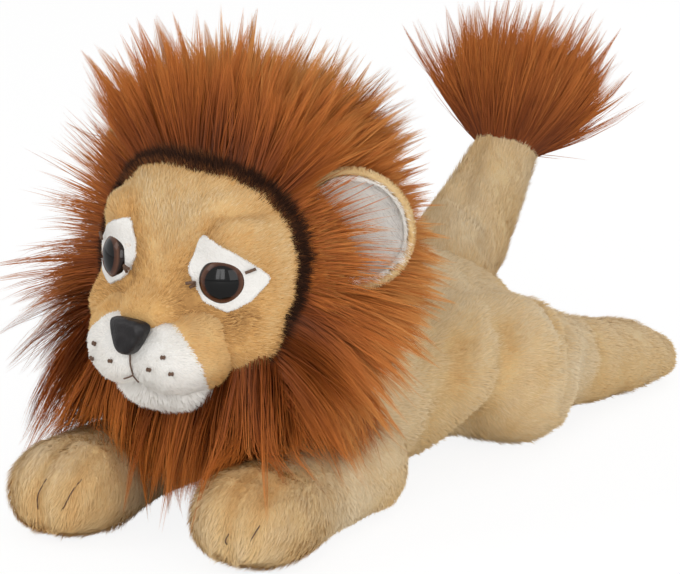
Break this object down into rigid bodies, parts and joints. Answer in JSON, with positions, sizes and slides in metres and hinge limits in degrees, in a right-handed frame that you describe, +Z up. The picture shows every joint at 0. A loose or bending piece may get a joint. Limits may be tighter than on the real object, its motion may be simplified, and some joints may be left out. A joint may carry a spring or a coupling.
{
  "type": "plush lion",
  "caption": "Stuffed toy lion lying on its belly with its legs stretched out, a long-furred mane, safety eyes and a tufted tail; legs and tail swing about their seams",
  "frame": {"origin": "the middle of the belly's flat, on the surface that the toy lies on", "axes": "-Y the way the lion faces, +Y towards the tail, +X the lion's own left side, +Z up"},
  "size_m": [0.1461, 0.3018, 0.1554],
  "materials": {
    "tan_plush": "short tan pile",
    "white_plush": "short white pile",
    "mane_fur": "long rust-coloured pile",
    "dark_fur": "short dark brown pile",
    "eye_plastic": "clear dome over a brown iris and a black pupil",
    "washer_plastic": "plain moulded",
    "nose_leather": "dark satin leather cloth",
    "filling": "fibre filling"
  },
  "bodies": {
    "body": {"body_cover": "tan_plush", "body_stuffing": "filling", "head_cover": "tan_plush", "head_stuffing": "filling", "chin": "white_plush", "muzzle_left": "white_plush", "muzzle_right": "white_plush", "nose": "nose_leather", "eye_left": "eye_plastic", "eye_right": "eye_plastic", "eye_washer_left": "washer_plastic", "eye_washer_right": "washer_plastic", "eye_patch_left": "white_plush", "eye_patch_right": "white_plush", "ear_back_left": "tan_plush", "ear_back_right": "tan_plush", "ear_lining_left": "white_plush", "ear_lining_right": "white_plush", "face_trim": "dark_fur", "mane_left": "mane_fur", "mane_right": "mane_fur", "mane_bib": "mane_fur"},
    "front_leg_left": {"front_leg_left_cover": "tan_plush", "front_leg_left_stuffing": "filling"},
    "front_leg_right": {"front_leg_right_cover": "tan_plush", "front_leg_right_stuffing": "filling"},
    "hind_leg_left": {"hind_leg_left_cover": "tan_plush", "hind_leg_left_stuffing": "filling"},
    "hind_leg_right": {"hind_leg_right_cover": "tan_plush", "hind_leg_right_stuffing": "filling"},
    "tail": {"tail_cover": "tan_plush", "tail_stuffing": "filling", "tail_tuft": "mane_fur"}
  },
  "joints": [
    {"name": "front_leg_left_swing", "type": "hinge", "parent": "body", "child": "front_leg_left", "pos_m": [0.034, -0.055, 0.016], "axis": [0, 0, 1], "range_deg": [-5, 18]},
    {"name": "front_leg_right_swing", "type": "hinge", "parent": "body", "child": "front_leg_right", "pos_m": [-0.034, -0.055, 0.016], "axis": [0, 0, -1], "range_deg": [-5, 18]},
    {"name": "hind_leg_left_swing", "type": "hinge", "parent": "body", "child": "hind_leg_left", "pos_m": [0.0385, 0.037, 0.024], "axis": [0, 0, -1], "range_deg": [-5, 18]},
    {"name": "hind_leg_right_swing", "type": "hinge", "parent": "body", "child": "hind_leg_right", "pos_m": [-0.0385, 0.037, 0.024], "axis": [0, 0, 1], "range_deg": [-5, 18]},
    {"name": "tail_lift", "type": "hinge", "parent": "body", "child": "tail", "pos_m": [0, 0.072, 0.05], "axis": [1, 0, 0], "range_deg": [-15, 15]}
  ]
}
